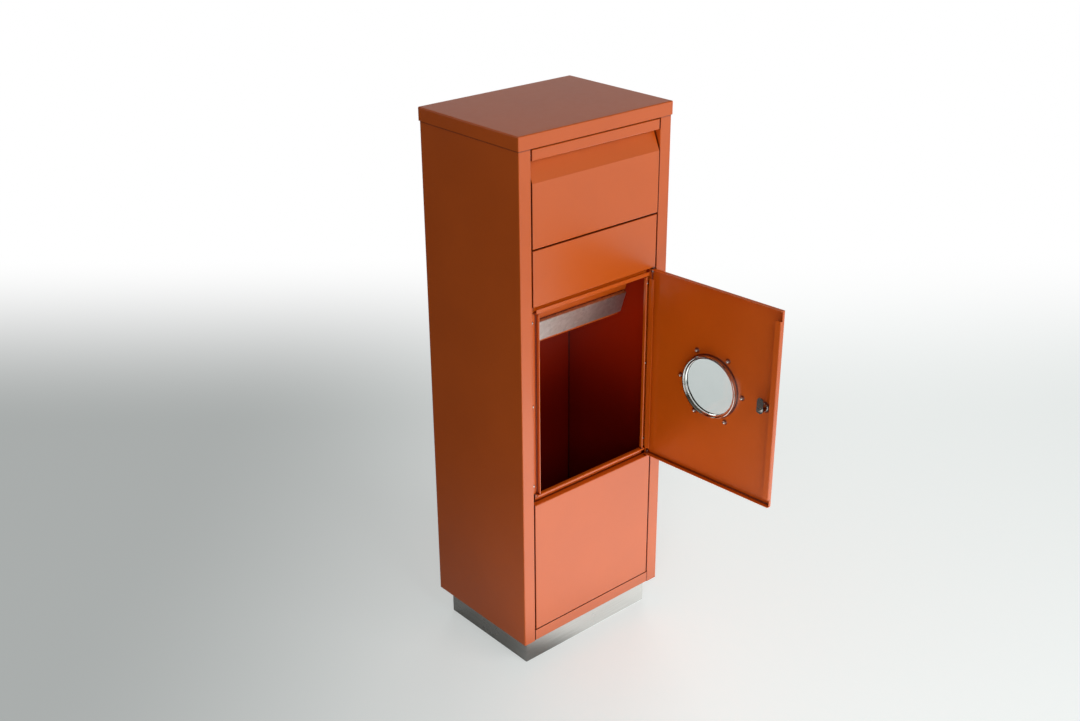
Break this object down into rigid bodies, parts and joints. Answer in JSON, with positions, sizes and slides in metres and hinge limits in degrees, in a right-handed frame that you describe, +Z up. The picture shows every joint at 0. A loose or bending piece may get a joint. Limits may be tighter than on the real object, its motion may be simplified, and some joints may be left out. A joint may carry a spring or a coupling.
{
  "type": "parcel mailbox",
  "caption": "Tall folded-steel parcel mailbox on a set-back plinth: a counterweighted tilting drop flap above a lockable door with a round window.",
  "frame": {"origin": "middle of the plinth's underside, on the ground", "axes": "+Z up, -Y out of the front, +X to the right of someone facing the front"},
  "size_m": [0.408, 0.6375, 1.2],
  "materials": {
    "orange_paint": "satin powder coat",
    "stainless": "brushed",
    "galvanised": "hot-dip zinc",
    "bright_zinc": "zinc plated",
    "buffer_rubber": "matt",
    "washer_plastic": "matt",
    "clear_glass": "clear"
  },
  "bodies": {
    "cabinet": {"plinth": "stainless", "plinth_bolts": "bright_zinc", "plinth_nuts": "bright_zinc", "floor_pan": "orange_paint", "body_shell": "orange_paint", "top_cap": "orange_paint", "cap_nuts": "bright_zinc", "header_fascia": "orange_paint", "mid_fascia": "orange_paint", "lower_panel": "orange_paint", "panel_rivets": "bright_zinc", "frame_jamb_left": "orange_paint", "frame_jamb_right": "orange_paint", "frame_head": "orange_paint", "frame_sill": "orange_paint", "jamb_rivets": "bright_zinc", "hopper_pivot_left": "bright_zinc", "hopper_pivot_right": "bright_zinc", "flap_stop_left": "orange_paint", "flap_stop_right": "orange_paint", "flap_buffers": "buffer_rubber", "tilt_stop_rail": "orange_paint", "tilt_stop_pads": "buffer_rubber", "door_pin_top": "bright_zinc", "door_pin_bottom": "bright_zinc"},
    "hopper": {"hopper_flap": "orange_paint", "hopper_floor": "orange_paint", "hopper_rivets": "bright_zinc", "counterweight": "galvanised", "counterweight_screws": "bright_zinc"},
    "door": {"door_panel": "orange_paint", "door_washer_top": "washer_plastic", "door_washer_bottom": "washer_plastic", "porthole_bezel": "stainless", "porthole_gasket": "buffer_rubber", "porthole_glass": "clear_glass", "porthole_clamp_ring": "stainless", "porthole_cap_nuts": "stainless", "lock_barrel": "bright_zinc", "lock_nut": "bright_zinc"},
    "lock": {"lock_plug": "bright_zinc", "lock_cam": "bright_zinc", "cam_nut": "bright_zinc"}
  },
  "joints": [
    {"name": "door_swing", "type": "hinge", "parent": "cabinet", "child": "door", "pos_m": [0.16545, -0.14845, 0.629], "axis": [0, 0, 1], "range_deg": [-94, 20]},
    {"name": "hopper_tilt", "type": "hinge", "parent": "cabinet", "child": "hopper", "pos_m": [0, -0.146, 0.9784], "axis": [1, 0, 0], "range_deg": [0, 60]},
    {"name": "lock_turn", "type": "hinge", "parent": "door", "child": "lock", "pos_m": [0.19076, -0.45238, 0.629], "axis": [0.9976, 0.0698, 0], "range_deg": [0, 90]}
  ]
}
